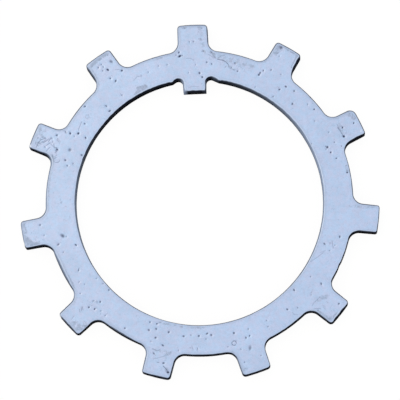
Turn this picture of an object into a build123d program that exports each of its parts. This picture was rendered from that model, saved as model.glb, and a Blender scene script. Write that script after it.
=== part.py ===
from build123d import *
from math import atan2, degrees, hypot, radians, sqrt, tan
import os

# Flat toothed lock washer for a slotted shaft nut, stamped in one piece from steel strip.
# The shaft's axis is Z, the underside is the plane Z = 0, and the inner key lies on +Y.
# The punch leaves a rolled edge round the upper face and a square edge round the underside.

# Strip
thickness = 3.0
die_roll = 0.45

# Ring
bore_diameter = 50.0
ring_width = 6.2

# Outer tabs
tab_count = 11
tab_length = 5.3
tab_root_width = 6.15
tab_tip_width = 5.9
tab_root_fillet = 2.1
tab_corner_radius = 0.75
crisp_corner_radius = 0.5
broad_corner_radius = 1.4

# Tab corners that came out crisper or rounder, each as the tab's number from the key and its side, which is
# 1 for anticlockwise
crisp_corners = ((2, 1), (3, 1), (5, -1), (8, 1), (8, -1), (9, -1))
broad_corners = ((9, 1),)

# Inner key
key_reach = 2.5
key_root_width = 5.2
key_tip_width = 4.7

# Relief notches beside the key, the right one wider and flatter than the left
right_notch_reach = 4.95
right_notch_slope = 27.0
left_notch_reach = 4.4
left_notch_slope = 34.0
notch_peak_radius = 0.9
notch_lip_radius = 0.5

# Worked out from the sizes above
bore_radius = bore_diameter / 2
ring_middle = bore_radius + ring_width / 2
rim_radius = bore_radius + ring_width
tip_radius = rim_radius + tab_length
key_tip_radius = bore_radius - key_reach
key_direction = 90
tab_pitch = 360 / tab_count
touching = 0.001


def corners_at_radius(sketch, radius):
    """Corners of a sketch that lie on a circle of this radius about the shaft's axis."""
    return sketch.vertices().filter_by(lambda corner: abs(hypot(corner.X, corner.Y) - radius) < touching)


def corner_radius_of(corner):
    """Radius that this corner of a tab was rounded to."""
    tabs_from_key = (degrees(atan2(corner.Y, corner.X)) - key_direction) / tab_pitch
    number = round(tabs_from_key)
    side = 1 if tabs_from_key > number else -1
    if (number % tab_count, side) in crisp_corners:
        return crisp_corner_radius
    if (number % tab_count, side) in broad_corners:
        return broad_corner_radius
    return tab_corner_radius


def tapered_blade(inner_radius, inner_width, outer_radius, outer_width):
    """Blade along +X, with its own width at the inner radius and at the outer radius."""
    with BuildSketch() as blade:
        Polygon(
            (inner_radius, -inner_width / 2),
            (outer_radius, -outer_width / 2),
            (outer_radius, outer_width / 2),
            (inner_radius, inner_width / 2),
            align=None,
        )
    return blade.sketch


def relief_notch(side, reach, slope):
    """Notch from the key's centre line out to a lip on the bore, on the side of +X (1) or -X (-1)."""
    lip_height = sqrt(bore_radius**2 - reach**2)
    peak_height = lip_height + reach * tan(radians(slope))
    with BuildSketch() as notch:
        Polygon(
            (0, lip_height),
            (side * reach, lip_height),
            (0, peak_height),
            align=None,
        )
    return notch.sketch


# Outer edge: the rim with its tabs
with BuildSketch() as outer_edge:
    with PolarLocations(0, tab_count, start_angle=key_direction):
        add(tapered_blade(ring_middle, tab_root_width, tip_radius + tab_corner_radius, tab_tip_width))
    Circle(tip_radius, mode=Mode.INTERSECT)
    Circle(rim_radius)
    fillet(corners_at_radius(outer_edge, rim_radius), tab_root_fillet)
    for radius in (tab_corner_radius, crisp_corner_radius, broad_corner_radius):
        tip_corners = corners_at_radius(outer_edge, tip_radius)
        fillet(tip_corners.filter_by(lambda corner: corner_radius_of(corner) == radius), radius)

# Inner edge: the bore and its two notches, with the key standing into them
with BuildSketch() as inner_edge:
    Circle(bore_radius)
    add(relief_notch(1, right_notch_reach, right_notch_slope))
    add(relief_notch(-1, left_notch_reach, left_notch_slope))
    with PolarLocations(0, 1, start_angle=key_direction):
        add(
            tapered_blade(key_tip_radius, key_tip_width, rim_radius, key_root_width),
            mode=Mode.SUBTRACT,
        )
    notch_peaks = inner_edge.vertices().sort_by_distance((0, 0, 0))[-2:]
    fillet(notch_peaks, notch_peak_radius)
    notch_lips = corners_at_radius(inner_edge, bore_radius).filter_by(lambda lip: lip.Y > key_tip_radius)
    fillet(notch_lips, notch_lip_radius)

# The washer, stamped through and rolled over round every edge of its upper face
with BuildPart() as lock_washer:
    with BuildSketch():
        add(outer_edge.sketch)
        add(inner_edge.sketch, mode=Mode.SUBTRACT)
    extrude(amount=thickness)
    upper_face = lock_washer.faces().sort_by(Axis.Z)[-1]
    fillet(upper_face.edges(), die_roll)

lock_washer.part.label = "lock_washer"

os.makedirs("parts", exist_ok=True)
export_step(lock_washer.part, "parts/lock_washer.step")
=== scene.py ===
import math

import bpy
import numpy as np
from mathutils import Matrix, Vector, noise
from mathutils.geometry import delaunay_2d_cdt


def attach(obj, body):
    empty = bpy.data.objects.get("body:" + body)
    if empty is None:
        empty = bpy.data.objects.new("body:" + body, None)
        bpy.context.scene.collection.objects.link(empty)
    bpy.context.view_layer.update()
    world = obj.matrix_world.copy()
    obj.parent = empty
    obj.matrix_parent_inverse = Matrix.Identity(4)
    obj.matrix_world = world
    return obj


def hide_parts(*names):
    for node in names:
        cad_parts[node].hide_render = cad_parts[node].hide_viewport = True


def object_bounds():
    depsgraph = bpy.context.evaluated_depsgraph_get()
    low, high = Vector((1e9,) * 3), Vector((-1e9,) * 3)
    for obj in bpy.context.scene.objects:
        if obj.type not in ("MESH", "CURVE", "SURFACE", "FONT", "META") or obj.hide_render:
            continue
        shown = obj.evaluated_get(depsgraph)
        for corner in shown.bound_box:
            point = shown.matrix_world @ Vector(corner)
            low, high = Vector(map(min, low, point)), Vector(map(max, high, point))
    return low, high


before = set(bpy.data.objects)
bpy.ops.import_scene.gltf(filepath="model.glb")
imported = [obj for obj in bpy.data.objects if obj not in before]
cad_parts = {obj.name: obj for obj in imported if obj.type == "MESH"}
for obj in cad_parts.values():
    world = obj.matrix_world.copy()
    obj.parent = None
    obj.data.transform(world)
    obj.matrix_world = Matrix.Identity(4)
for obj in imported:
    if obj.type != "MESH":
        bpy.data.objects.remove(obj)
cad_low, cad_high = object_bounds()

# The camera: a long lens almost straight above the washer. It leans a little towards the lower edge of
# the picture, so the sheared walls that face it show as thin dark bands.
PICTURE_SIZE = 400
FOCAL_PIXELS = 3446.0
SENSOR_WIDTH_MM = 36.0
CAMERA_DISTANCE = 0.7
CAMERA_TILT = math.radians(7.75)
CAMERA_BEARING = math.radians(-80)
PICTURE_TURN = math.radians(-2.58)
AXIS_COLUMN = 199.7
AXIS_ROW = 203.7
NEAREST_SEEN = 0.01

axis_point = Vector((0, 0, cad_low.z))
towards_camera = Vector((
    math.cos(CAMERA_BEARING) * math.sin(CAMERA_TILT),
    math.sin(CAMERA_BEARING) * math.sin(CAMERA_TILT),
    math.cos(CAMERA_TILT),
))
picture_right = Vector((math.cos(PICTURE_TURN), math.sin(PICTURE_TURN), 0))
camera_place = axis_point + towards_camera * CAMERA_DISTANCE


def camera_axes(back):
    """Right, up and back directions of a camera that looks along minus back, level with the picture."""
    right = (picture_right - back * picture_right.dot(back)).normalized()
    return right, back.cross(right), back


right, up, back = camera_axes(towards_camera)
metres_per_pixel = CAMERA_DISTANCE / FOCAL_PIXELS
aim_point = (
    axis_point
    + right * (PICTURE_SIZE / 2 - AXIS_COLUMN) * metres_per_pixel
    + up * (AXIS_ROW - PICTURE_SIZE / 2) * metres_per_pixel
)
right, up, back = camera_axes((camera_place - aim_point).normalized())
camera_data = bpy.data.cameras.new("photo_camera")
camera_data.sensor_width = SENSOR_WIDTH_MM
camera_data.lens = FOCAL_PIXELS / PICTURE_SIZE * SENSOR_WIDTH_MM
camera_data.clip_start = NEAREST_SEEN
camera = bpy.data.objects.new("photo_camera", camera_data)
camera.matrix_world = Matrix.Translation(camera_place) @ Matrix((right, up, back)).transposed().to_4x4()
bpy.context.scene.collection.objects.link(camera)
bpy.context.scene.camera = camera

# The washer: one flat stamping of 3 mm steel strip, zinc plated with a blue-white finish. The press cuts
# its outline, rolls the upper edge over, and leaves walls with a smooth land above a rough break, which
# are painted dark as shade.
# Nothing is fixed to it. Sizes are in millimetres, from the middle of the bore, with the key on +Y.
MM = 0.001
THICKNESS = (cad_high.z - cad_low.z) / MM
BORE_RADIUS = 25.0
RING_WIDTH = 6.2
RIM_RADIUS = BORE_RADIUS + RING_WIDTH
TAB_LENGTH = 5.3
TIP_RADIUS = RIM_RADIUS + TAB_LENGTH
RING_MIDDLE = (BORE_RADIUS + RIM_RADIUS) / 2
TAB_COUNT = 11
TAB_ROOT_WIDTH = 6.15
TAB_TIP_WIDTH = 5.9
TAB_ROOT_FILLET = 2.1
TAB_CORNER_RADIUS = 0.75
CRISP_CORNER_RADIUS = 0.5
BROAD_CORNER_RADIUS = 1.4
TAB_TIP_REACH = TIP_RADIUS + TAB_CORNER_RADIUS
# Tab corners that came out crisper or rounder, each as the tab's number from the key and its side, which is
# 1 for anticlockwise.
CRISP_CORNERS = ((2, 1), (3, 1), (5, -1), (8, 1), (8, -1), (9, -1))
BROAD_CORNERS = ((9, 1),)
# How far some sides of the tabs stand out from the drawing, with the tab and side written in the same way.
SIDE_SHIFTS = {
    (0, 1): 0.12, (0, -1): 0.16, (1, -1): 0.1, (2, 1): -0.22, (3, 1): -0.12, (3, -1): -0.08,
    (6, -1): 0.08, (7, 1): -0.1, (8, 1): -0.08, (8, -1): -0.15, (10, 1): 0.06, (10, -1): -0.14,
}
KEY_REACH = 2.5
KEY_TIP_RADIUS = BORE_RADIUS - KEY_REACH
KEY_ROOT_WIDTH = 5.2
KEY_TIP_WIDTH = 4.7
# How far the notch on each side of the key reaches from the key's centre line, and its slope.
RIGHT_NOTCH = (4.95, math.radians(27))
LEFT_NOTCH = (4.4, math.radians(34))
NOTCH_PEAK_RADIUS = 0.9
NOTCH_LIP_RADIUS = 0.5
OUTLINE_STEP = 0.25
FEWEST_ON_ARC = 4
# Points left out beside the key's two sharp corners, where the rows of the rolled edge draw together.
SHARP_GAP = 4


def arc(centre, radius, start, end):
    """Points along an arc, both ends included."""
    count = max(FEWEST_ON_ARC, math.ceil(abs(end - start) * radius / OUTLINE_STEP) + 1)
    turn = np.linspace(start, end, count)
    return np.asarray(centre) + radius * np.column_stack([np.cos(turn), np.sin(turn)])


def straight(start, end):
    """Points along a straight run, both ends included."""
    count = max(2, math.ceil(np.hypot(*(end - start)) / OUTLINE_STEP) + 1)
    return np.linspace(start, end, count)


def joined(*runs):
    """One closed loop from several runs, with the points that two runs share kept once."""
    points = np.vstack(runs)
    steps = np.hypot(*(points - np.roll(points, 1, axis=0)).T)
    return points[steps > OUTLINE_STEP / 100]


def bearing(direction):
    """Angle of a direction from +X."""
    return math.atan2(direction[1], direction[0])


def turned(points, angle):
    """Points turned about the axis."""
    c, s = math.cos(angle), math.sin(angle)
    return points @ np.array([[c, s], [-s, c]])


def tab_side(corner_radius, shift):
    """Left side of a tab that points along +X, from the middle of its tip to the rim."""
    inner = np.array([RING_MIDDLE, TAB_ROOT_WIDTH / 2 + shift])
    outer = np.array([TAB_TIP_REACH, TAB_TIP_WIDTH / 2 + shift])
    along = (outer - inner) / np.hypot(*(outer - inner))
    across = np.array([-along[1], along[0]])
    reach = across @ inner
    root_reach = reach + TAB_ROOT_FILLET
    root = across * root_reach + along * math.sqrt((RIM_RADIUS + TAB_ROOT_FILLET) ** 2 - root_reach**2)
    corner_reach = reach - corner_radius
    corner = across * corner_reach + along * math.sqrt((TIP_RADIUS - corner_radius) ** 2 - corner_reach**2)
    return np.vstack([
        arc((0, 0), TIP_RADIUS, 0, bearing(corner)),
        arc(corner, corner_radius, bearing(corner), bearing(across)),
        straight(corner + across * corner_radius, root - across * TAB_ROOT_FILLET),
        arc(root, TAB_ROOT_FILLET, bearing(-across), bearing(root) - math.pi),
    ])


def notch_side(reach, slope):
    """Right side of the key's surroundings, from the bore over the lip and the notch to the key's tip."""
    lip = np.array([reach, math.sqrt(BORE_RADIUS**2 - reach**2)])
    into_steel = np.array([math.sin(slope), math.cos(slope)])
    uphill = np.array([-math.cos(slope), math.sin(slope)])
    key_tip = np.array([KEY_TIP_WIDTH / 2, KEY_TIP_RADIUS])
    key_root = np.array([KEY_ROOT_WIDTH / 2, RIM_RADIUS])
    along_key = (key_root - key_tip) / np.hypot(*(key_root - key_tip))
    off_key = np.array([along_key[1], -along_key[0]])
    lip_reach = into_steel @ lip + NOTCH_LIP_RADIUS
    lip_rise = math.sqrt((BORE_RADIUS + NOTCH_LIP_RADIUS) ** 2 - lip_reach**2)
    lip_centre = into_steel * lip_reach + uphill * lip_rise
    peak_centre = np.linalg.solve(
        [into_steel, off_key],
        [into_steel @ lip - NOTCH_PEAK_RADIUS, off_key @ key_tip + NOTCH_PEAK_RADIUS],
    )
    return np.vstack([
        arc(lip_centre, NOTCH_LIP_RADIUS, bearing(lip_centre) + math.pi, bearing(into_steel) + math.pi),
        straight(lip_centre - into_steel * NOTCH_LIP_RADIUS, peak_centre + into_steel * NOTCH_PEAK_RADIUS),
        arc(peak_centre, NOTCH_PEAK_RADIUS, bearing(into_steel), bearing(-off_key)),
        straight(peak_centre - off_key * NOTCH_PEAK_RADIUS, key_tip)[:-SHARP_GAP],
        [key_tip],
    ])


tab_pitch = 2 * math.pi / TAB_COUNT
sides = {}
for number in range(TAB_COUNT):
    for side in (1, -1):
        corner_radius = TAB_CORNER_RADIUS
        if (number, side) in CRISP_CORNERS:
            corner_radius = CRISP_CORNER_RADIUS
        elif (number, side) in BROAD_CORNERS:
            corner_radius = BROAD_CORNER_RADIUS
        sides[number, side] = tab_side(corner_radius, SIDE_SHIFTS.get((number, side), 0))
outer_runs = []
for number in range(TAB_COUNT):
    gap_start = bearing(sides[number, 1][-1])
    gap_end = tab_pitch - bearing(sides[(number + 1) % TAB_COUNT, -1][-1])
    rim_gap = arc((0, 0), RIM_RADIUS, gap_start, gap_end)
    for run in (sides[number, -1][::-1] * (1, -1), sides[number, 1], rim_gap):
        outer_runs.append(turned(run, math.pi / 2 + tab_pitch * number))
outer_loop = joined(*outer_runs)
right_side = notch_side(*RIGHT_NOTCH)
left_side = notch_side(*LEFT_NOTCH)[::-1] * (-1, 1)
bore_arc = arc((0, 0), BORE_RADIUS, bearing(left_side[-1]), bearing(right_side[0]) + 2 * math.pi)
key_end = straight(right_side[-1], left_side[0])[SHARP_GAP:-SHARP_GAP]
inner_loop = joined(bore_arc, right_side, key_end, left_side)


def on_face(column, row):
    """Point of the upper face, in millimetres, that the camera sees at this place in the picture."""
    ray = right * (column - PICTURE_SIZE / 2) - up * (row - PICTURE_SIZE / 2) - back * FOCAL_PIXELS
    place = camera_place + ray * ((cad_high.z - camera_place.z) / ray.z)
    return np.array([place.x, place.y]) / MM


# Pits in the upper face, placed from the photograph and sorted by how dark they are there, as
# degrees anticlockwise from the right and pixels, both from the bore's middle. Each is a real dimple.
BORE_COLUMN = 200.0
BORE_ROW = 206.5
FAINT_PITS = [
    (25.5, 149), (30, 148.7), (29.3, 128), (36.7, 143), (43.5, 148.5), (56.3, 132), (58.5, 155), (62.2, 170),
    (65.2, 131.5), (77.2, 142.5), (91.7, 142), (92.3, 165), (93.7, 165), (94.9, 134.5), (103, 145.5),
    (106.5, 146.5), (111, 144), (89.4, 178.3), (94.9, 178.8), (125.6, 167), (126.2, 172), (125, 136),
    (150.8, 144), (155.3, 163), (162.9, 139), (161.3, 134), (190.5, 158.5), (192.7, 137), (198.5, 144),
    (212, 142.5), (214, 139), (216, 148), (214.8, 126), (218.5, 124), (221.5, 143), (226.5, 144),
    (229, 144.5), (250, 143.5), (261.5, 145.5), (266, 129), (269, 142), (272.6, 132.8), (281.3, 143),
    (286, 148.5), (286, 162), (292.3, 161), (291.5, 131.7), (299.5, 138), (300.3, 132), (314, 140.7),
    (321.5, 142), (327.6, 131), (341.3, 137),
]
SMALL_PITS = [
    (13, 151), (19.5, 144.7), (22.5, 141.5), (29, 163), (28.5, 175), (55.8, 141.5), (74.5, 140.5),
    (85.3, 143), (87.3, 144.5), (89, 129.5), (97.8, 155.5), (125, 156.5), (139, 152.5),
    (149, 133.5), (158.3, 154), (222.5, 123.5), (222.2, 150), (224.2, 147), (249.8, 125), (246.6, 126),
    (197.2, 130), (291, 138.5),
]
CLEAR_PITS = [
    (40.4, 150), (48, 138), (50.8, 149), (54.4, 147.5), (62.5, 154), (65, 150), (65.9, 144.3), (65.7, 146.5),
    (76.3, 147.5), (90.2, 133.5), (133, 137.5), (133.4, 131.5), (144.3, 142), (153.5, 160),
    (156.5, 129), (161, 142.5), (186.6, 161), (195, 146.7), (223.7, 138), (238.3, 143), (247.5, 133.7),
    (250.3, 130), (251.3, 138.5), (255, 143.7), (252.5, 154), (256, 129.5), (256.9, 160.7),
    (262.8, 130.7), (269.5, 129.5), (273.2, 127.3), (275, 129), (285, 131), (289.3, 139), (310.3, 135),
    (325, 169.5), (327.5, 143.7), (343.3, 130), (347.8, 143),
]
DEEP_PITS = [
    (25, 140.5), (26, 160), (97.7, 151.7), (119.9, 156.8), (123.9, 151.3), (124, 165), (149, 142),
    (150.6, 149), (259.1, 168.9), (318.4, 125.8),
]
BROAD_PITS = [(63, 178.5), (121.5, 170), (156.5, 142), (192, 140.5), (289.5, 150)]
# The tiniest pits, as picture columns and rows.
PIN_PITS = [
    (116, 81), (107.8, 70.2), (122, 70.8), (110.6, 61.6), (78.1, 133.6), (70, 133.1), (84.7, 123.6),
    (85.9, 138.1), (57.6, 149.4), (45, 147), (57, 135.8), (65.6, 132), (65.6, 160.6), (67.6, 165.8),
    (335, 245.2), (343.5, 137), (327.8, 146.9), (325.6, 146.3), (326.1, 149.1), (330.8, 152.4),
    (336.3, 158.2), (341.7, 146.1), (334.4, 142.1), (287, 308.8), (318.1, 310.2), (169.2, 331.7),
    (150, 321.9), (163.1, 363.6), (89.2, 306.9), (93.9, 300.8), (98.1, 67.6), (103.3, 67), (101.4, 64.4),
    (178.9, 52.8), (180, 55.6), (182.2, 55.6), (176.1, 55), (203.3, 51.1), (211.7, 52.2), (78.6, 270.3),
]
PIT_SEED = 11
PIT_DEPTH = 0.1
PIN_RADIUS = 0.16
PIN_DEPTH = 0.6
# Each kind of pit, as its places, its radius in millimetres and its share of the full depth.
PIT_KINDS = (
    (FAINT_PITS, 0.2, 0.5),
    (SMALL_PITS, 0.2, 0.85),
    (CLEAR_PITS, 0.25, 0.75),
    (DEEP_PITS, 0.28, 0.95),
    (BROAD_PITS, 0.45, 0.6),
)
PIT_RADIUS_SPREAD = (0.9, 1.15)
PIT_DEPTH_SPREAD = (0.85, 1.1)
PIT_STEEPNESS = 1.5
# Rings of mesh points round each pit, as a share of its radius and a count of points.
PIT_RINGS = ((0.0, 1), (0.35, 6), (0.7, 9), (1.0, 12), (1.3, 13))
PIT_REACH = PIT_RINGS[-1][0]
LARGEST_STRETCH = 1.35
UNDERSIDE_PITS = 90
UNDERSIDE_RADIUS = (0.15, 0.35)
UNDERSIDE_DEPTH = (0.3, 1)

chance = np.random.default_rng(PIT_SEED)


def make_pit(centre, radius, depth):
    """One pit, drawn out a little in a direction of its own."""
    stretch = chance.uniform(1, LARGEST_STRETCH)
    turn = chance.uniform(0, math.pi)
    along = np.array([math.cos(turn), math.sin(turn)])
    across = np.array([-along[1], along[0]])
    return centre, along * radius * stretch, across * radius / stretch, depth


upper_pits = []
for places, radius, depth in PIT_KINDS:
    for degrees, pixels in places:
        turn = math.radians(degrees)
        place = on_face(BORE_COLUMN + pixels * math.cos(turn), BORE_ROW - pixels * math.sin(turn))
        own_radius = radius * chance.uniform(*PIT_RADIUS_SPREAD)
        own_depth = depth * chance.uniform(*PIT_DEPTH_SPREAD)
        upper_pits.append(make_pit(place, own_radius, own_depth))
for column, row in PIN_PITS:
    upper_pits.append(make_pit(on_face(column, row), PIN_RADIUS, PIN_DEPTH))
under_pits = []
for _ in range(UNDERSIDE_PITS):
    turn = chance.uniform(0, 2 * math.pi)
    distance = chance.uniform(BORE_RADIUS, TIP_RADIUS)
    place = distance * np.array([math.cos(turn), math.sin(turn)])
    own_radius = chance.uniform(*UNDERSIDE_RADIUS)
    own_depth = chance.uniform(*UNDERSIDE_DEPTH)
    under_pits.append(make_pit(place, own_radius, own_depth))

# Scratches in the upper face, as strength and then picture columns and rows along each.
SCRATCHES = [
    (0.9, (218.6, 59.4), (222.5, 60.2), (225.8, 61.7), (228.3, 64.4), (229, 65.5)),
    (0.6, (225.2, 67.2), (226.7, 65.6)),
    (0.4, (186.3, 58.3), (190.2, 58.3), (193.8, 60.2)),
    (0.6, (213.6, 56.1), (216.9, 58.3)),
    (0.5, (219.7, 56.7), (221.3, 55.8), (225.8, 55.0)),
    (0.5, (230.8, 67.8), (234.7, 70.6)),
    (0.35, (276, 55.5), (278.2, 52.8), (283.2, 49.4)),
    (0.9, (258.4, 75), (260.2, 72)),
    (0.5, (271.6, 97.2), (274.3, 95.6)),
    (0.6, (278.8, 88), (278.9, 91)),
    (0.4, (292.7, 102.8), (294.3, 106)),
    (0.8, (338.9, 128.9), (341.7, 133.3), (343.7, 136.6)),
    (0.4, (337.2, 124.1), (338.3, 128.6)),
    (0.7, (341.7, 125.8), (343, 128.6)),
    (0.6, (332.2, 241.9), (333.3, 248)),
    (0.3, (320.6, 252.4), (326.1, 250.2)),
    (0.45, (310.3, 261.9), (317, 257.5), (324.2, 251.9)),
    (0.6, (310.9, 293), (312, 291.3)),
    (0.45, (312, 305.8), (314.2, 302.4), (319.8, 297.4)),
    (0.35, (325.9, 298), (327.5, 299.6)),
    (0.4, (292.6, 312.4), (294.2, 314.7), (298.7, 314.7)),
    (0.5, (153.1, 349.1), (157.6, 350.8), (160.9, 349.1)),
    (0.4, (154.2, 358.6), (159.5, 357.6), (165.3, 355.8)),
    (1.0, (163.9, 366.6), (166.4, 369.3), (168, 372.5)),
    (0.7, (157, 362.2), (159.4, 362.8)),
    (0.5, (192, 346.9), (193.5, 350.5)),
    (0.9, (78.1, 271.5), (79.2, 267.8)),
    (0.5, (79.4, 309.1), (80, 312.4)),
    (0.6, (81.1, 307.4), (81.7, 311.3)),
    (0.6, (82.2, 306.9), (83.3, 310.2)),
    (0.4, (71.7, 319.1), (75, 314.7)),
    (0.7, (94.4, 309.5), (96, 307.3)),
    (0.5, (62.8, 235.6), (63.3, 237.8)),
    (0.6, (81.7, 121.7), (79.9, 126), (78.3, 130.4)),
    (0.6, (52.8, 155.6), (52.6, 159), (53.3, 161.7), (57.2, 162.8), (59.4, 161.5), (60.6, 158.9)),
    (0.8, (36.7, 146.7), (38.3, 142.8), (40.6, 140), (45, 138.3)),
    (0.8, (48.9, 141.1), (51.1, 137.8)),
    (0.7, (42.2, 142.2), (46.1, 140)),
    (0.8, (53.9, 145), (54.4, 147.8)),
    (0.6, (57.5, 139.5), (58.6, 142.6)),
    (0.7, (47, 150.5), (50.5, 146.5)),
    (0.5, (116.3, 69.7), (121.3, 69.1)),
    (0.45, (135.2, 79.1), (136.6, 77), (138.6, 76.3), (142.4, 76.9)),
    (0.4, (120.4, 93.6), (122, 95.8)),
    (
        1.0, (236.4, 343.3), (235.6, 341), (233.6, 340.8), (231.8, 342.6), (232.2, 344.9), (234.4, 345.4),
        (236, 344.6),
    ),
    (0.35, (189, 87.2), (194.5, 86.4), (200, 86.8)),
    (0.5, (315.3, 308.6), (320.9, 308.6)),
    (0.6, (35.6, 142.8), (36.1, 145.6)),
    (0.6, (39.4, 143.3), (42.2, 145)),
    (0.8, (43.3, 142.8), (46.1, 141.1), (48.9, 138.9)),
    (0.75, (47.2, 145), (50, 142.8)),
    (0.8, (52.8, 141.1), (52.2, 143.9)),
    (0.3, (58.3, 138.9), (60, 141.7), (58.9, 145.6)),
    (0.55, (51.1, 144.4), (53.9, 147.2), (56.7, 148.3), (57.8, 150.6)),
    (0.6, (51.7, 157.2), (53.3, 160.6), (52.2, 162.8)),
    (0.5, (208.3, 54.4), (213.3, 57.2), (216.1, 58.3)),
    (0.4, (228.9, 67.8), (232.2, 68.9)),
    (0.5, (156.7, 323.8), (158.1, 323.3)),
    (0.4, (72.8, 163.9), (73.3, 166)),
    (0.3, (85.4, 117.5), (86, 115), (88.6, 114.9), (89.2, 117.5), (87.2, 118.8), (85.4, 117.5)),
]
SCRATCH_HALF_WIDTH = 0.12
SCRATCH_DEPTH = 0.02
SCRATCH_STEP = 0.25
# Stains and dull patches, some of them painted shade beside edges that rolled over further, as half width
# in pixels, strength, and picture columns and rows along each.
STAINS_AND_EDGE_SHADE = [
    (2.0, 1.3, (182.5, 27.4), (185.5, 27.2)),
    (1.8, 1.4, (198.5, 27.0), (200.5, 27.2)),
    (5, 0.3, (200, 31), (203, 45)),
    (3, 0.4, (203.6, 51.1), (206, 53)),
    (2.5, 0.6, (210.5, 52), (214.5, 55.5)),
    (7, 0.3, (218, 57), (240, 63), (252, 66)),
    (2.5, 0.5, (229, 66.5), (234.7, 70.6)),
    (4.5, 0.9, (279, 46.5), (275.5, 52)),
    (2, 0.6, (284, 47), (298, 56)),
    (2.6, 1.0, (297, 58), (292.5, 67)),
    (4, 0.6, (349, 114), (354.5, 118)),
    (3, 0.35, (339, 124), (342.5, 133)),
    (2, 0.6, (346, 164), (347.5, 172)),
    (3, 0.35, (349.4, 205.5), (362, 207), (374, 207)),
    (2.2, 0.7, (316.5, 238), (311.5, 251), (304.8, 264)),
    (3.5, 0.45, (319, 312), (329.5, 319.5), (337, 314)),
    (5, 0.3, (316, 300), (327, 296)),
    (3, 0.45, (240.9, 371), (246, 369)),
    (2.5, 0.5, (231.5, 352), (233.5, 353.5)),
    (1.8, 1.4, (166.5, 369), (168.4, 373.5)),
    (2.5, 0.5, (165.3, 351.3), (167.6, 354.7), (170.3, 352.4)),
    (3.5, 0.3, (152, 350), (162, 352)),
    (1.6, 0.5, (194, 328.2), (201, 328.6)),
    (1.8, 0.45, (160, 322.5), (184, 327.2), (204, 327.4)),
    (8, 0.45, (74, 325), (79, 329.5), (84, 325.5)),
    (3.2, 1.3, (56.5, 257), (62, 268), (67.5, 277.5), (72, 287)),
    (5, 1.0, (28, 241), (30, 245), (37, 245)),
    (4.5, 0.6, (22.5, 223), (26.5, 245)),
    (4, 0.3, (24, 221), (42, 216.5)),
    (2.4, 0.5, (48.5, 188), (47.5, 205)),
    (3, 0.35, (50.5, 171), (47.5, 190)),
    (9, 0.3, (42, 131), (36, 146)),
    (4.5, 0.35, (40.5, 128), (39, 133)),
    (3, 0.3, (55, 148), (58, 150)),
    (3.5, 0.55, (52, 156), (52.5, 162)),
    (2.4, 1.1, (92, 66), (94.5, 62.5), (101, 57.5), (107, 54)),
    (2.6, 0.9, (87.2, 66.9), (91, 71.5), (95, 77.5), (97.5, 84)),
    (1.6, 0.6, (154.5, 60.8), (158, 58.7), (162, 56.4)),
    (4.6, 1.7, (139.5, 89.8), (145, 88)),
    (2.2, 1.0, (135, 94), (138, 91.5)),
    (1.8, 0.5, (81.3, 155), (82.8, 154.6)),
    (2.4, 0.45, (66, 132.5), (64.5, 131)),
]
# Scuffed areas, where hair scratches crowd, written as the stains are.
SCUFFS = [
    (9, 0.6, (40, 137), (52, 146)),
    (6, 0.8, (56, 140), (57, 158)),
    (7, 0.7, (214, 57), (246, 68)),
    (6, 0.5, (199, 32), (204, 50)),
    (6, 0.6, (338, 125), (343, 134)),
    (6, 0.5, (322, 300), (330, 310)),
    (7, 0.8, (152, 352), (166, 355)),
    (5, 0.6, (190, 345), (200, 349)),
    (6, 0.7, (79, 308), (96, 304)),
    (6, 0.5, (30, 230), (40, 240)),
    (6, 0.5, (136, 79), (144, 77)),
    (8, 0.4, (60, 200), (66, 216)),
    (6, 0.45, (332, 244), (326, 250)),
]
# Painted highlights where a rolled corner catches the lamp, written as the stains are.
GLINTS = [
    (1.3, 1.0, (29.5, 144.8), (30.1, 146.4)),
    (1.2, 1.0, (23.8, 242.6), (24.4, 245)),
    (1.3, 0.9, (59.6, 314.6), (60.6, 317.6)),
    (1.2, 0.9, (361, 129.6), (361.7, 131.8)),
]
# Dents in the outline, as picture column, row, reach in pixels and depth in millimetres.
RIM_NICKS = [
    (338.2, 264.2, 2.6, 0.16),
    (347.3, 172, 2.0, 0.08),
    (232, 352.6, 2.0, 0.07),
    (158, 57.5, 2.2, 0.06),
]


def segments_of(marks, lead):
    """Straight pieces of every mark as start, end, lead values, with places moved on to the face."""
    pieces = []
    for mark in marks:
        places = [on_face(*place) for place in mark[lead:]]
        pieces += [(start, end, *mark[:lead]) for start, end in zip(places, places[1:])]
    return pieces


def distance_to_segment(points, start, end):
    """Distance of each point from a straight piece."""
    run = end - start
    share = np.clip(((points - start) @ run) / (run @ run), 0, 1)
    return np.hypot(*(points - start - share[:, None] * run).T)


# Both faces are triangulated between the outlines. The walls follow the shear: the rolled edge, the smooth
# land that the punch burnished, and the rough break, which falls back a little and ends in a small burr.

# Mean width of the rolled edge round the rim and round the bore, and the way a wall faces where it is wider.
RIM_ROLL = (0.4, (-0.12, 0.1))
BORE_ROLL = (0.46, (-0.12, -0.36))
ROLL_SHARE = 0.95
# Stretches of the rim that rolled over further, or less, as picture column, row, reach and added width.
WIDE_ROLLS = [
    (62, 268, 17, 0.35), (91, 74, 8, 0.25), (296, 62, 8, 0.3), (340, 314, 9, 0.28), (46, 158, 7, 0.25),
    (68, 324, 10, 0.3), (356, 136, 8, 0.2), (118, 335, 14, 0.3), (158, 375, 10, 0.12), (87.5, 331, 9, -0.15),
]
ROLL_DEPTH = 0.5
ROLL_STEPS = 8
LAND_STEPS = 3
BREAK_STEPS = 5
LAND_BOTTOM = 1.5
LAND_TILT = 0.55
LAND_TILT_WAY = (-0.25, -0.95)
BREAK_STEP_BACK = 0.02
BREAK_ROUGHNESS = 0.04
BURR_SHARE = 0.3
WALL_FLARE = 0.03
OUTLINE_WEAR = 0.03
WEAR_SHARE = 0.5
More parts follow.
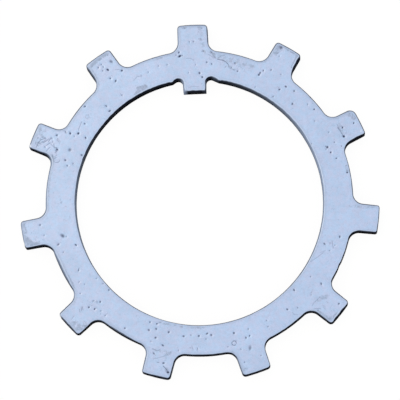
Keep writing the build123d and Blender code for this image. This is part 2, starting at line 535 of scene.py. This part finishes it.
# Waves of unevenness along the walls, each as its share, the size of its bumps in millimetres and its layer.
LAND_WAVE = 0.3
WEAR_WAVES = ((0.3, 2.2, 0.5), (0.2, 0.7, 1.5))
ROLL_WAVES = ((0.22, 6, 2.5),)
LAND_WAVES = ((LAND_WAVE, 3, 3.5), (LAND_WAVE / 3, 0.8, 4.5))
BREAK_WAVES = ((1.0, 0.9, 6.5), (0.5, 0.4, 16.5))
# Limits at the outline's corners, which keep the rows of a wall from crossing each other.
LEAST_COSINE = 0.5
LEAST_TURN = 1e-6
ROUNDED_TURN = math.radians(60)
CORNER_SHARE = 0.85
CORNER_SPREAD = 2
# The faces' mesh: spacing of its points, and how much of that it keeps clear of the outline and of marks.
UPPER_SPACING = 0.36
UNDERSIDE_SPACING = 0.8
OUTLINE_ROOM = 0.6
MARK_ROOM = 0.4
LOOP_CLEARANCE = 0.06
MERGE_DISTANCE = 1e-6
ALL_TRIANGLES = 0
SPARE_ROWS = 4
POINTS_AT_ONCE = 500
# Painted shade along the border of the face, a grey band on the rolled edge and just inside it: its width,
# the way a wall faces where it is strongest, how strong it is down the first rows of the wall, and its
# strength round the rim and round the bore.
BORDER_WIDTH = 0.45
BORDER_WAY = (-0.9, 0.43)
BORDER_ROWS = (1.0, 1.0, 0.95, 0.8, 0.5, 0.2)
RIM_BORDER = 1.0
BORE_BORDER = 0.75
BORDER_STRIDE = 4
# Painted light that keeps the walls paler by the way they face: the most, that way, and how sharply it falls
# off.
RIM_PAINTED_LIGHT = ((0.9, (-1.0, 0.0), 10), (0.5, (0.99, 0.14), 12), (0.2, (0.0, 1.0), 1))
BORE_PAINTED_LIGHT = ((1.0, (-0.985, -0.174), 4), (0.6, (0.99, 0.14), 8), (0.05, (0.0, 1.0), 1))
PIXEL_MM = metres_per_pixel / MM


def waves(points, middle, parts, layers_on=0):
    """Smooth unevenness along an outline about a middle value, added up from waves of several sizes."""
    total = middle
    for share, size, layer in parts:
        bumps = [noise.noise(Vector((x / size, y / size, layer + layers_on))) for x, y in points]
        total = total + share * np.array(bumps)
    return total


def away_from(points, column, row, reach):
    """Distance of each point from a place in the picture, as a share of a reach in pixels."""
    return np.hypot(*(points - on_face(column, row)).T) / (reach * PIXEL_MM)


def steel_normals(loop, sign):
    """Directions out of the steel at each point of a loop, lengthened at sharp corners."""
    before = loop - np.roll(loop, 1, axis=0)
    after = np.roll(loop, -1, axis=0) - loop
    before /= np.hypot(*before.T)[:, None]
    after /= np.hypot(*after.T)[:, None]
    middle = before + after
    middle /= np.hypot(*middle.T)[:, None]
    stretch = 1 / np.maximum((middle * after).sum(axis=1), LEAST_COSINE)
    return sign * np.column_stack([middle[:, 1], -middle[:, 0]]) * stretch[:, None]


def corner_room(loop, sign):
    """Radius of each rounded outer corner of the steel along a loop, and a large value elsewhere."""
    before = loop - np.roll(loop, 1, axis=0)
    after = np.roll(loop, -1, axis=0) - loop
    cross = before[:, 0] * after[:, 1] - before[:, 1] * after[:, 0]
    turn = sign * np.arctan2(cross, (before * after).sum(axis=1))
    length = (np.hypot(*before.T) + np.hypot(*after.T)) / 2
    rounded = (turn > 0) & (turn < ROUNDED_TURN)
    room = np.where(rounded, length / np.maximum(turn, LEAST_TURN), BORE_RADIUS)
    return np.min([np.roll(room, shift) for shift in range(-CORNER_SPREAD, CORNER_SPREAD + 1)], axis=0)


def wall_rows(loop, sign, roll):
    """Rows of points down a wall, each with its heights and how far down the edge it is, from 0 to 3."""
    normals = steel_normals(loop, sign)
    wear = OUTLINE_WEAR * waves(loop, WEAR_SHARE, WEAR_WAVES)
    for column, row, reach, depth in RIM_NICKS:
        wear += depth * np.exp(-(away_from(loop, column, row, reach) ** 2))
    mean_width, wider_way = roll
    width = mean_width * waves(loop, ROLL_SHARE + normals @ wider_way, ROLL_WAVES)
    for column, row, reach, extra in WIDE_ROLLS:
        width += extra * np.exp(-(away_from(loop, column, row, reach) ** 4))
    width = np.minimum(width, CORNER_SHARE * corner_room(loop, sign) - wear - WALL_FLARE)
    land_bottom = waves(loop, LAND_BOTTOM, LAND_WAVES)
    land_bottom += LAND_TILT * (normals @ LAND_TILT_WAY)
    rows = []
    for step in range(ROLL_STEPS + 1):
        turn = math.pi / 2 * step / ROLL_STEPS
        inset = wear + WALL_FLARE + width * (1 - math.sin(turn))
        drop = np.full(len(loop), ROLL_DEPTH * (1 - math.cos(turn)))
        rows.append((loop - normals * inset[:, None], THICKNESS - drop, step / ROLL_STEPS))
    land_top = THICKNESS - ROLL_DEPTH
    for step in range(1, LAND_STEPS + 1):
        share = step / LAND_STEPS
        height = land_top + (land_bottom - land_top) * share
        inset = wear + WALL_FLARE * height / land_top
        rows.append((loop - normals * inset[:, None], height, 1 + share))
    for step in range(BREAK_STEPS + 1):
        share = step / BREAK_STEPS
        fall_back = BREAK_STEP_BACK + BREAK_ROUGHNESS * np.abs(waves(loop, 0, BREAK_WAVES, step))
        if step == BREAK_STEPS:
            fall_back *= BURR_SHARE
        height = (land_bottom - BREAK_STEP_BACK) * (1 - share)
        inset = wear + WALL_FLARE * height / land_top + fall_back
        rows.append((loop - normals * inset[:, None], height, 2 + share))
    return rows


def inside(points, loop):
    """Which points lie inside a closed loop."""
    x, y = points[:, 0], points[:, 1]
    result = np.zeros(len(points), bool)
    for (x0, y0), (x1, y1) in zip(loop, np.roll(loop, -1, axis=0)):
        if y0 != y1:
            result ^= ((y0 > y) != (y1 > y)) & (x < (x1 - x0) * (y - y0) / (y1 - y0) + x0)
    return result


def nearest(points, others):
    """Distance from each point to the nearest of the others."""
    gaps = np.empty(len(points))
    for start in range(0, len(points), POINTS_AT_ONCE):
        block = points[start:start + POINTS_AT_ONCE, None] - others[None]
        gaps[start:start + POINTS_AT_ONCE] = np.sqrt((block**2).sum(axis=2).min(axis=1))
    return gaps


def pit_values(points, pits):
    """How deep into a pit each point lies, from 0 on the face to 1 at the bottom of the deepest."""
    value = np.zeros(len(points))
    for centre, along, across, depth in pits:
        off = points - centre
        away = ((off @ along) / (along @ along)) ** 2 + ((off @ across) / (across @ across)) ** 2
        near = np.clip(1 - away / PIT_REACH**2, 0, 1)
        value = np.maximum(value, depth * near**PIT_STEEPNESS)
    return value


def mark_values(points, segments, half_width):
    """Strength of the marks at each point, falling off to their half width, or to each mark's own."""
    value = np.zeros(len(points))
    for start, end, *lead in segments:
        reach = half_width or lead[0] * PIXEL_MM
        near = np.clip(1 - distance_to_segment(points, start, end) / reach, 0, 1)
        share = lead[-1] * near if half_width else lead[-1] * near * near * (3 - 2 * near)
        value = np.maximum(value, share)
    return value


def face_mesh(outer, inner, pits, scratches, spacing):
    """Points and triangles of one face, with extra points round each pit and along each scratch."""
    special = []
    for centre, along, across, _ in pits:
        for share, count in PIT_RINGS:
            turn = np.arange(count)[:, None] * 2 * math.pi / count + share
            special.append(centre + share * (along * np.cos(turn) + across * np.sin(turn)))
    for start, end, _ in scratches:
        count = max(2, round(np.hypot(*(end - start)) / SCRATCH_STEP))
        line = np.linspace(start, end, count, endpoint=False)
        off = np.array([start[1] - end[1], end[0] - start[0]]) / np.hypot(*(end - start)) * SCRATCH_HALF_WIDTH
        special += [line, line + off, line - off]
    count = int(2 * TIP_RADIUS / spacing) + SPARE_ROWS
    steps = (np.arange(count) - count / 2) * spacing
    x, y = np.meshgrid(steps, steps)
    x = x + (np.arange(count) % 2)[:, None] * spacing / 2
    grid = np.column_stack([x.ravel(), y.ravel()])
    grid = grid[inside(grid, outer) & ~inside(grid, inner)]
    outlines = np.vstack([outer, inner])
    grid = grid[nearest(grid, outlines) > spacing * OUTLINE_ROOM]
    loose = grid
    if special:
        special = np.vstack(special)
        special = special[inside(special, outer) & ~inside(special, inner)]
        special = special[nearest(special, outlines) > LOOP_CLEARANCE]
        loose = np.vstack([special, grid[nearest(grid, special) > spacing * MARK_ROOM]])
    points = np.vstack([outlines, loose])
    edges = []
    for start, count in ((0, len(outer)), (len(outer), len(inner))):
        edges += [(start + i, start + (i + 1) % count) for i in range(count)]
    places = [Vector(point) for point in points]
    made = delaunay_2d_cdt(places, edges, [], ALL_TRIANGLES, MERGE_DISTANCE)
    original = np.array([origins[0] for origins in made[3]])
    triangles = original[np.array(made[2])]
    centres = points[triangles].mean(axis=1)
    return points, triangles[inside(centres, outer) & ~inside(centres, inner)]


outer_rows = wall_rows(outer_loop, 1, RIM_ROLL)
inner_rows = wall_rows(inner_loop, -1, BORE_ROLL)
scratches = segments_of(SCRATCHES, 1)
upper_points, upper_triangles = face_mesh(
    outer_rows[0][0], inner_rows[0][0], upper_pits, scratches, UPPER_SPACING,
)
under_points, under_triangles = face_mesh(
    outer_rows[-1][0], inner_rows[-1][0], under_pits, [], UNDERSIDE_SPACING,
)

# The first and last rows of each wall are the outlines of the faces, and only the rows between add points.
upper_pit = pit_values(upper_points, upper_pits)
under_pit = pit_values(under_points, under_pits)
upper_scratch = mark_values(upper_points, scratches, SCRATCH_HALF_WIDTH)
parts = [np.column_stack([upper_points, THICKNESS - PIT_DEPTH * upper_pit - SCRATCH_DEPTH * upper_scratch])]
starts = {"upper": 0, "under": len(upper_points)}
parts.append(np.column_stack([under_points, PIT_DEPTH * under_pit]))
filled = len(upper_points) + len(under_points)
for name, rows in (("outer", outer_rows), ("inner", inner_rows)):
    for number, (points, height, _) in enumerate(rows[1:-1], 1):
        starts[name, number] = filled
        parts.append(np.column_stack([points, height]))
        filled += len(points)
vertices = np.vstack(parts)

faces = [tuple(triangle) for triangle in upper_triangles.tolist()]
faces += [tuple(triangle) for triangle in (under_triangles[:, ::-1] + starts["under"]).tolist()]
edge_depth = [0.0] * (3 * len(faces))
for name, rows, offset, order in (("outer", outer_rows, 0, 1), ("inner", inner_rows, len(outer_loop), -1)):
    count = len(rows[0][0])
    first = [starts["upper"] + offset] + [starts[name, n] for n in range(1, len(rows) - 1)]
    first.append(starts["under"] + offset)
    for number in range(len(rows) - 1):
        above, below = rows[number][2], rows[number + 1][2]
        for i in range(count):
            j = (i + 1) % count
            quad = (first[number] + i, first[number + 1] + i, first[number + 1] + j, first[number] + j)
            faces.append(quad[::order])
            edge_depth += (above, below, below, above)[::order]

# The mesh, with a layer for each kind of mark, for the painted shade and painted light along the edges, and
# for how far down the edge each corner of a face is.
mesh = bpy.data.meshes.new("stamped_washer")
mesh.from_pydata([tuple(vertex) for vertex in vertices * MM], [], faces)
mesh.attributes.new("edge_depth", "FLOAT", "CORNER").data.foreach_set("value", edge_depth)
flat = vertices[:, :2]
on_upper = np.arange(len(vertices)) < len(upper_points)
pit_layer = np.zeros(len(vertices))
pit_layer[:len(upper_pit) + len(under_pit)] = np.concatenate([upper_pit, under_pit])
# Painted shade along the border of the face, by the way each wall faces.
border_shade_mask = np.zeros(len(vertices))
# Painted light on the walls, by the way each wall faces.
painted_wall_light_layer = np.zeros(len(vertices))
for name, rows, offset, loop, sign, most, painted_wall_lights in (
    ("outer", outer_rows, 0, outer_loop, 1, RIM_BORDER, RIM_PAINTED_LIGHT),
    ("inner", inner_rows, len(outer_loop), inner_loop, -1, BORE_BORDER, BORE_PAINTED_LIGHT),
):
    normals = steel_normals(loop, sign)
    facing = np.clip(0.5 + 0.5 * normals @ BORDER_WAY, 0, 1) * most
    painted_wall_light = np.max([share * np.clip(normals @ way, 0, 1) ** power for share, way, power in painted_wall_lights], axis=0)
    for number in range(len(rows) - 1):
        first = starts[name, number] if number else offset
        painted_wall_light_layer[first:first + len(loop)] = painted_wall_light
    gaps = ((upper_points[:, None] - rows[0][0][None, ::BORDER_STRIDE]) ** 2).sum(axis=2)
    closest = gaps.argmin(axis=1)
    near = np.clip(1 - np.sqrt(gaps.min(axis=1)) / BORDER_WIDTH, 0, 1) * facing[::BORDER_STRIDE][closest]
    border_shade_mask[:len(near)] = np.maximum(border_shade_mask[:len(near)], near)
    for number, share in enumerate(BORDER_ROWS):
        first = starts[name, number] if number else offset
        border_shade_mask[first:first + len(loop)] = share * facing
scratch_layer = np.zeros(len(vertices))
scratch_layer[:len(upper_scratch)] = upper_scratch
for name, values in (
    ("pit", pit_layer),
    ("scratch", scratch_layer),
    ("painted_border_shade", border_shade_mask),
    ("painted_wall_light", painted_wall_light_layer),
    ("glint", mark_values(flat, segments_of(GLINTS, 2), None)),
    ("stain_and_shade", mark_values(flat, segments_of(STAINS_AND_EDGE_SHADE, 2), None) * on_upper),
    ("scuff", mark_values(flat, segments_of(SCUFFS, 2), None) * on_upper),
):
    mesh.attributes.new(name, "FLOAT", "POINT").data.foreach_set("value", values)
mesh.polygons.foreach_set("use_smooth", [True] * len(faces))
mesh.update()
washer = bpy.data.objects.new("stamped_washer", mesh)
bpy.context.scene.collection.objects.link(washer)
washer.select_set(True)
bpy.context.view_layer.objects.active = washer
SMOOTH_ANGLE = math.radians(50)
bpy.ops.object.shade_smooth_by_angle(angle=SMOOTH_ANGLE)

# Zinc plate with a blue-white finish, with painted light and shade on its edges and walls. Colours are linear
# red, green and blue.
ZINC_WARM = (0.474, 0.559, 0.771, 1)
ZINC_COOL = (0.441, 0.568, 0.792, 1)
# Grey for the painted shade along the face's border and for the painted light on the walls.
PAINTED_LIGHT_AND_SHADE_GREY = (0.335, 0.415, 0.58, 1)
# Painted highlight along the top of the rolled edge.
ROLL_PAINTED_HIGHLIGHT = (0.57, 0.68, 0.88, 1)
# Painted shade on the lower part of the rolled edge.
ROLL_PAINTED_SHADE = (0.003, 0.004, 0.012, 1)
GLINT_WHITE = (0.82, 0.88, 0.97, 1)
# Painted shade on the land and on the break, where the break is also rough and dull.
LAND_PAINTED_SHADE = (0.01, 0.013, 0.022, 1)
BREAK_DULL_AND_PAINTED_SHADE = (0.003, 0.0035, 0.005, 1)
PIT_DARK = (0.06, 0.07, 0.13, 1)
SCRATCH_DARK = (0.12, 0.15, 0.25, 1)
STAIN_AND_SHADE_GREY = (0.27, 0.33, 0.45, 1)
SPECK_DARK = (0.22, 0.26, 0.40, 1)
NOISE_LOW = 0.3
NOISE_HIGH = 0.7
BUMP_DISTANCE = 0.00004

zinc = bpy.data.materials.new("blue_white_zinc_plate")
zinc.use_nodes = True
tree = zinc.node_tree
shader = tree.nodes["Principled BSDF"]


def node(kind, inputs, **settings):
    """A node with its settings and inputs, where an input is a value or another node's output."""
    made = tree.nodes.new(kind)
    for name, value in settings.items():
        setattr(made, name, value)
    for name, value in inputs.items():
        if isinstance(value, bpy.types.NodeSocket):
            tree.links.new(value, made.inputs[name])
        else:
            made.inputs[name].default_value = value
    return made


def sums(operation, first, second=0.0, third=0.0):
    """Output of a Math node."""
    return node("ShaderNodeMath", {0: first, 1: second, 2: third}, operation=operation).outputs[0]


def step_up(value, low, high, bottom=0.0, top=1.0):
    """A value eased from bottom to top as another goes from low to high."""
    inputs = {"Value": value, "From Min": low, "From Max": high, "To Min": bottom, "To Max": top}
    return node("ShaderNodeMapRange", inputs, interpolation_type="SMOOTHSTEP").outputs[0]


def vary(noise_value, least, most):
    """A value that wanders from least to most with a noise, over the range that the noise mostly keeps to."""
    return step_up(noise_value, NOISE_LOW, NOISE_HIGH, least, most)


def vectors(operation, first, second):
    """Output of a Vector Math node."""
    return node("ShaderNodeVectorMath", {0: first, 1: second}, operation=operation).outputs[0]


def colour_mix(share, first, second, mode="MIX"):
    """Output of a Mix node for colours."""
    mixed = node("ShaderNodeMix", {0: share, 6: first, 7: second}, data_type="RGBA", blend_type=mode)
    return mixed.outputs[2]


def layer(name):
    """One of the washer's own mark layers."""
    return node("ShaderNodeAttribute", {}, attribute_name=name).outputs["Fac"]


place = node("ShaderNodeTexCoord", {}).outputs["Object"]
place_mm = node("ShaderNodeVectorMath", {0: place, "Scale": 1 / MM}, operation="SCALE").outputs[0]


def cloud(scale, detail=2.0, distortion=0.0, roughness=0.5, where=place_mm):
    """Noise with features of about one over the scale, in millimetres."""
    inputs = {
        "Vector": where, "Scale": scale, "Detail": detail, "Distortion": distortion, "Roughness": roughness,
    }
    return node("ShaderNodeTexNoise", inputs).outputs["Fac"]


# The face's tone and tint, which wander from broad patches down to a fine grain.
broad_cloud = cloud(0.1)
patch_cloud = cloud(0.45, 3, 0.6)
grain = cloud(1.7, 4, 0.3, 0.65)
fine_grain = cloud(6.0, 1)
tone = sums("MULTIPLY", vary(broad_cloud, 0.975, 1.02), vary(patch_cloud, 0.975, 1.02))
tone = sums("MULTIPLY", tone, vary(grain, 0.965, 1.025))
tone = sums("MULTIPLY", tone, vary(fine_grain, 0.955, 1.035))
tone_colour = node("ShaderNodeCombineColor", {"Red": tone, "Green": tone, "Blue": tone}).outputs[0]
tint = colour_mix(step_up(cloud(1.1, 2), 0.36, 0.64), ZINC_WARM, ZINC_COOL)
face = colour_mix(1.0, tint, tone_colour, "MULTIPLY")

# Stains, and painted shade beside some rolled edges, with ragged edges.
ragged = sums("MULTIPLY", layer("stain_and_shade"), step_up(cloud(1.6, 4, 0.5, 0.75), 0.36, 0.6, 0.15, 1.5))
stain_and_shade = sums("MULTIPLY", step_up(ragged, 0.08, 0.55), step_up(grain, 0.3, 0.65, 0.45, 0.85))
face = colour_mix(stain_and_shade, face, STAIN_AND_SHADE_GREY)

# Hair scratches, which run where either of two slow noises crosses its middle value, and crowd in scuffs.
shifted = vectors("ADD", place_mm, (17.0, 31.0, 5.0))
hair_lines = 0.0
for where, scale in ((place_mm, 0.5), (shifted, 0.9)):
    off_line = sums("ABSOLUTE", sums("SUBTRACT", cloud(scale, 1, 1.2, where=where), 0.5))
    hair_lines = sums("MAXIMUM", step_up(off_line, 0.0, 0.03, 1, 0), hair_lines)
hair_lines = sums("MULTIPLY", hair_lines, step_up(cloud(1.3, 1, 0.5), 0.5, 0.6))
scuff = sums("MULTIPLY", hair_lines, sums("MULTIPLY_ADD", layer("scuff"), 0.7, 0.1))
face = colour_mix(scuff, face, SCRATCH_DARK)

# Dull specks of two sizes, as cells to a millimetre, the share left out, and the least and most strength.
for scale, present, least, most in ((0.8, 0.5, 0.1, 0.5), (1.9, 0.55, 0.05, 0.3)):
    warped = vectors("ADD", place_mm, cloud(2.0, 1))
    cells = node("ShaderNodeTexVoronoi", {"Vector": warped, "Scale": scale, "Randomness": 1.0})
    draw = node("ShaderNodeSeparateColor", {"Color": cells.outputs["Color"]}).outputs
    away = sums("DIVIDE", cells.outputs["Distance"], scale)
    speck = step_up(sums("SUBTRACT", away, step_up(draw["Green"], 0.0, 1.0, 0.05, 0.16)), -0.09, 0.03, 1, 0)
    speck = sums("MULTIPLY", speck, step_up(draw["Red"], present, present + 0.05))
    speck = sums("MULTIPLY", speck, step_up(draw["Blue"], 0.0, 1.0, least, most))
    face = colour_mix(speck, face, SPECK_DARK)
# The scratches and pits that are in the mesh are darkened, the pits more towards their bottom.
face = colour_mix(layer("scratch"), face, SCRATCH_DARK)
pit = layer("pit")
face = colour_mix(step_up(pit, 0.0, 0.95), face, PIT_DARK)

# The wall from the rolled edge (0 to 1) over the land (1 to 2) to the break (2 to 3), with uneven limits: a
# painted highlight at the top of the roll, and painted shade below it, on the land and on the dull break.
edge = layer("edge_depth")
edge = sums("MULTIPLY", edge, vary(cloud(0.8, 3, 0.4), 0.85, 1.15))
EDGE_STOPS = (
    (0.00, ROLL_PAINTED_HIGHLIGHT), (0.22, ROLL_PAINTED_HIGHLIGHT),
    (0.40, ROLL_PAINTED_SHADE), (0.90, ROLL_PAINTED_SHADE),
    (1.10, LAND_PAINTED_SHADE), (1.80, LAND_PAINTED_SHADE),
    (2.02, BREAK_DULL_AND_PAINTED_SHADE), (3.00, BREAK_DULL_AND_PAINTED_SHADE),
)
EDGE_END = 3.0
edge_ramp = node("ShaderNodeValToRGB", {"Fac": sums("DIVIDE", edge, EDGE_END)})
while len(edge_ramp.color_ramp.elements) < len(EDGE_STOPS):
    edge_ramp.color_ramp.elements.new(1.0)
for stop, (depth, colour) in zip(edge_ramp.color_ramp.elements, EDGE_STOPS):
    stop.position = depth / EDGE_END
    stop.color = colour
# Painted light: walls that face sideways or up are mixed towards a lighter grey.
painted_light_share = sums("MULTIPLY", layer("painted_wall_light"), step_up(edge, 0.2, 0.4))
wall = colour_mix(painted_light_share, edge_ramp.outputs["Color"], PAINTED_LIGHT_AND_SHADE_GREY)
on_edge = step_up(edge, 0.02, 0.2)
surface = colour_mix(on_edge, face, wall)
# Painted shade along the border of the face, strongest on the side that BORDER_WAY gives.
painted_border_shade = sums("MULTIPLY", layer("painted_border_shade"), vary(patch_cloud, 0.6, 1.0))
surface = colour_mix(painted_border_shade, surface, PAINTED_LIGHT_AND_SHADE_GREY)
# Painted highlights at the rolled corners listed in GLINTS.
glint = sums("MULTIPLY", layer("glint"), step_up(edge, 0.9, 1.2, 1, 0))
surface = colour_mix(glint, surface, GLINT_WHITE)
tree.links.new(surface, shader.inputs["Base Color"])

# Shine, which the face has and the wall has lost, and roughness, which the stain and shade patches, pits and
# the break add to.
dulled = step_up(edge, 0.29, 0.44)
bare = step_up(edge, 1.8, 2.02)
shine = sums("SUBTRACT", sums("MULTIPLY_ADD", dulled, -0.95, 1.0), sums("MULTIPLY", bare, 0.05))
tree.links.new(shine, shader.inputs["Metallic"])
rough = vary(grain, 0.34, 0.42)
rough = sums("ADD", rough, sums("MULTIPLY", stain_and_shade, 0.12))
rough = sums("ADD", rough, sums("MULTIPLY", pit, 0.25))
rough = sums("ADD", rough, step_up(edge, 1.8, 2.0, 0.0, 0.35))
tree.links.new(rough, shader.inputs["Roughness"])
shader.inputs["Specular IOR Level"].default_value = 0.0

# Fine relief: the grain of the face, upright streaks on the land and grit on the break.
streaks_at = vectors("MULTIPLY", place_mm, (5.0, 5.0, 0.5))
land_streaks = sums("MULTIPLY", cloud(1.0, 2, where=streaks_at), step_up(edge, 0.9, 1.1))
break_grit = sums("MULTIPLY", cloud(3.0, 4, 0.5), step_up(edge, 1.9, 2.1, 0.0, 3.0))
height = sums("ADD", sums("MULTIPLY_ADD", grain, 0.35, land_streaks), break_grit)
height = sums("MULTIPLY_ADD", fine_grain, 0.2, height)
bump = node("ShaderNodeBump", {"Height": height, "Strength": 0.4, "Distance": BUMP_DISTANCE})
tree.links.new(bump.outputs["Normal"], shader.inputs["Normal"])
mesh.materials.append(zinc)
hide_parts("lock_washer")
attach(washer, "root")

# The studio: a plain white table under the washer, which keeps a faint shadow and is clear from below, and
# a white sky that lights the washer evenly, with one large soft lamp high on the left.
TABLE_HALF = 1.5
TABLE_DROP = 0.00002
TABLE_WHITE = (0.65, 0.65, 0.65, 1)
TABLE_GLOW = 1.08
TABLE_GLOW_SHARE = 0.88
SKY_WHITE = (1, 1, 1, 1)
SKY_LIGHT = 0.7
LAMP_SIZE = 0.5
LAMP_DISTANCE = 0.8
LAMP_HEIGHT = math.radians(58)
LAMP_UPWARD = 0.6
LAMP_WATTS = 0.7
LAMP_WARM = (1.0, 0.8, 0.5)


def seen():
    """1 where a surface is seen, directly, mirrored or through something, and 0 where it only gives light."""
    path = tree.nodes.new("ShaderNodeLightPath").outputs
    direct_or_mirrored = sums("MAXIMUM", path["Is Camera Ray"], path["Is Glossy Ray"])
    return sums("MAXIMUM", direct_or_mirrored, path["Is Transmission Ray"])


table_mesh = bpy.data.meshes.new("table")
table_top = cad_low.z - TABLE_DROP
table_corners = [(x * TABLE_HALF, y * TABLE_HALF, table_top) for x, y in ((-1, -1), (1, -1), (1, 1), (-1, 1))]
table_mesh.from_pydata(table_corners, [], [(0, 1, 2, 3)])
table = bpy.data.objects.new("table", table_mesh)
bpy.context.scene.collection.objects.link(table)
table_white = bpy.data.materials.new("table_white")
table_white.use_nodes = True
tree = table_white.node_tree
tree.nodes.remove(tree.nodes["Principled BSDF"])
matt = node("ShaderNodeBsdfDiffuse", {"Color": TABLE_WHITE}).outputs[0]
glow = node("ShaderNodeEmission", {"Color": SKY_WHITE, "Strength": TABLE_GLOW}).outputs[0]
glow_share = sums("MULTIPLY", seen(), TABLE_GLOW_SHARE)
lit = node("ShaderNodeMixShader", {0: glow_share, 1: matt, 2: glow}).outputs[0]
from_below = tree.nodes.new("ShaderNodeNewGeometry").outputs["Backfacing"]
clear = node("ShaderNodeBsdfTransparent", {}).outputs[0]
one_sided = node("ShaderNodeMixShader", {0: from_below, 1: lit, 2: clear}).outputs[0]
tree.links.new(one_sided, tree.nodes["Material Output"].inputs["Surface"])
table_mesh.materials.append(table_white)

world = bpy.data.worlds.new("white_sky")
bpy.context.scene.world = world
world.use_nodes = True
tree = world.node_tree
sky = tree.nodes["Background"]
sky.inputs["Color"].default_value = SKY_WHITE
tree.links.new(step_up(seen(), 0.0, 1.0, SKY_LIGHT, 1.0), sky.inputs["Strength"])

lamp_data = bpy.data.lights.new("soft_lamp", "AREA")
lamp_data.shape = "DISK"
lamp_data.size = LAMP_SIZE
lamp_data.energy = LAMP_WATTS
lamp_data.color = LAMP_WARM
lamp = bpy.data.objects.new("soft_lamp", lamp_data)
sideways = (up * LAMP_UPWARD - right).normalized()
lamp_way = Vector((sideways.x, sideways.y, 0)).normalized() * math.cos(LAMP_HEIGHT)
lamp_way.z = math.sin(LAMP_HEIGHT)
lamp.matrix_world = Matrix.Translation(axis_point + lamp_way * LAMP_DISTANCE) @ (
    lamp_way.to_track_quat("Z", "Y").to_matrix().to_4x4()
)
bpy.context.scene.collection.objects.link(lamp)

bpy.context.scene.view_settings.view_transform = "Standard"
